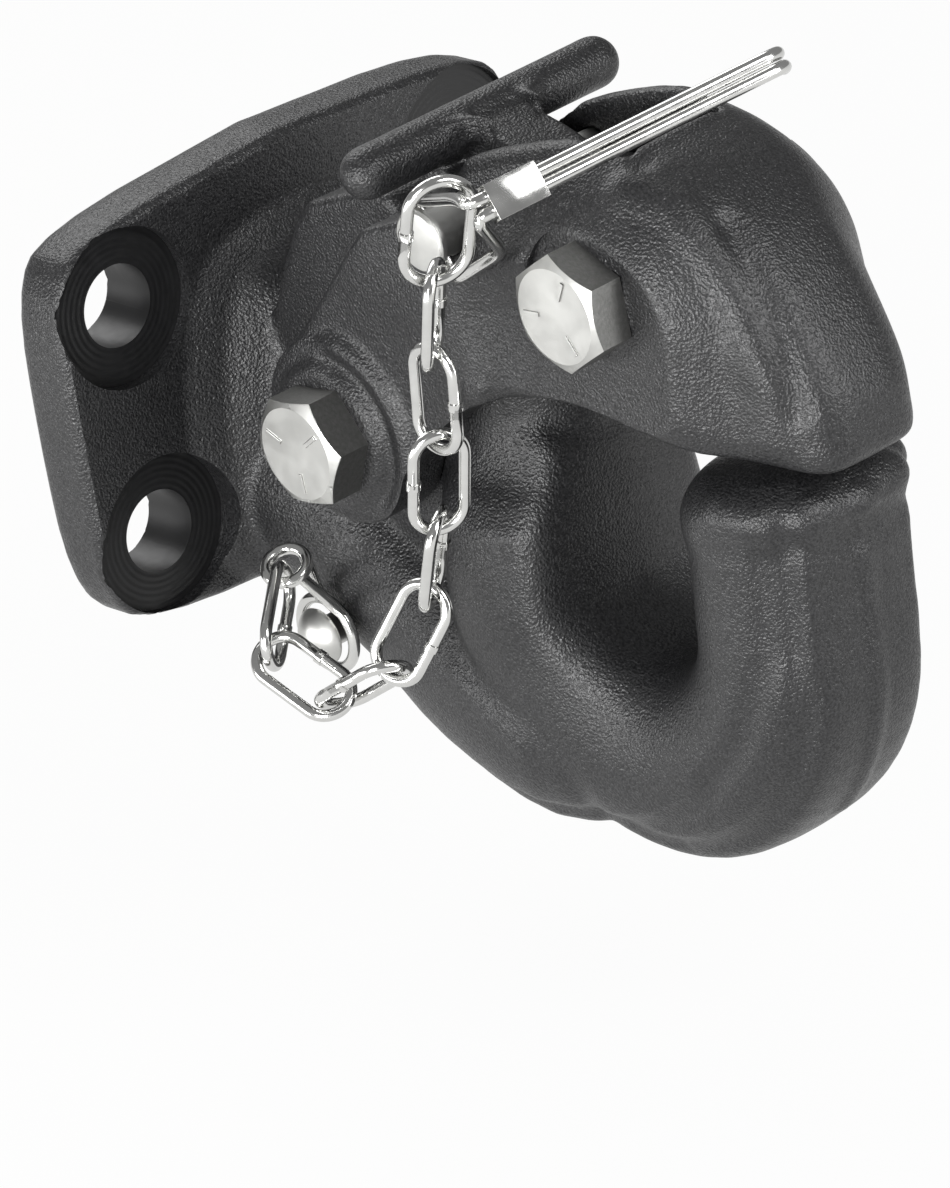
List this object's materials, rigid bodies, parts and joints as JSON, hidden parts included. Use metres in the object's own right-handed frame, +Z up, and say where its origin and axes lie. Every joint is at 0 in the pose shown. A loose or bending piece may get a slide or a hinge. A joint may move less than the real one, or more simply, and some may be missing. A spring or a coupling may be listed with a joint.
{
  "type": "pintle hook",
  "caption": "Forged pintle hook with a bolt-on flange, a hinged upper jaw closing on a round horn, a T-handled lock lever and a safety pin on a chain.",
  "frame": {"origin": "centre of the four bolt holes on the mounting face of the flange", "axes": "+X forward away from the mounting face, +Y across the hook to its left when looking forward, +Z up"},
  "size_m": [0.1606, 0.1146, 0.1485],
  "materials": {
    "black_coat": "satin black coating with a fine orange peel grain",
    "zinc": "bright zinc plating, slightly clouded",
    "bright_wire": "bright plated wire"
  },
  "bodies": {
    "body": {"hook_body": "black_coat", "jaw_pivot_bolt": "zinc", "jaw_pivot_nut": "zinc", "anchor_rivet": "zinc"},
    "jaw": {"upper_jaw": "black_coat", "lock_pivot_bolt": "zinc", "lock_pivot_nut": "zinc"},
    "lever": {"lock_lever": "black_coat"},
    "pin": {"safety_pin": "zinc"},
    "bail": {"pin_bail": "bright_wire", "bail_ferrule": "bright_wire"},
    "chain": {"chain_link_1": "bright_wire", "chain_link_2": "bright_wire", "chain_link_3": "bright_wire", "chain_link_4": "bright_wire", "chain_link_5": "bright_wire", "chain_link_6": "bright_wire", "chain_link_7": "bright_wire", "chain_link_8": "bright_wire", "chain_link_9": "bright_wire", "chain_eyelet": "bright_wire"}
  },
  "joints": [
    {"name": "jaw_open", "type": "hinge", "parent": "body", "child": "jaw", "pos_m": [0.049, 0, -0.001], "axis": [0, -1, 0], "range_deg": [0, 48]},
    {"name": "lock_lift", "type": "hinge", "parent": "jaw", "child": "lever", "pos_m": [0.119, 0, 0.0375], "axis": [0, 1, 0], "range_deg": [0, 40]},
    {"name": "pin_pull", "type": "slide", "parent": "jaw", "child": "pin", "axis": [0, -1, 0], "range_m": [0, 0.075]},
    {"name": "bail_swing", "type": "hinge", "parent": "pin", "child": "bail", "pos_m": [0.086, -0.0276, 0.0448], "axis": [0.5, 0, -0.866], "range_deg": [0, 12]},
    {"name": "chain_swing", "type": "hinge", "parent": "pin", "child": "chain", "pos_m": [0.1061, -0.039, 0.0605], "axis": [0, -1, 0], "range_deg": [-25, 1]}
  ],
  "couplings": [
    {"joint": "lock_lift", "follows": "jaw_open", "ratio": 0.8},
    {"joint": "chain_swing", "follows": "jaw_open", "ratio": -0.36}
  ]
}
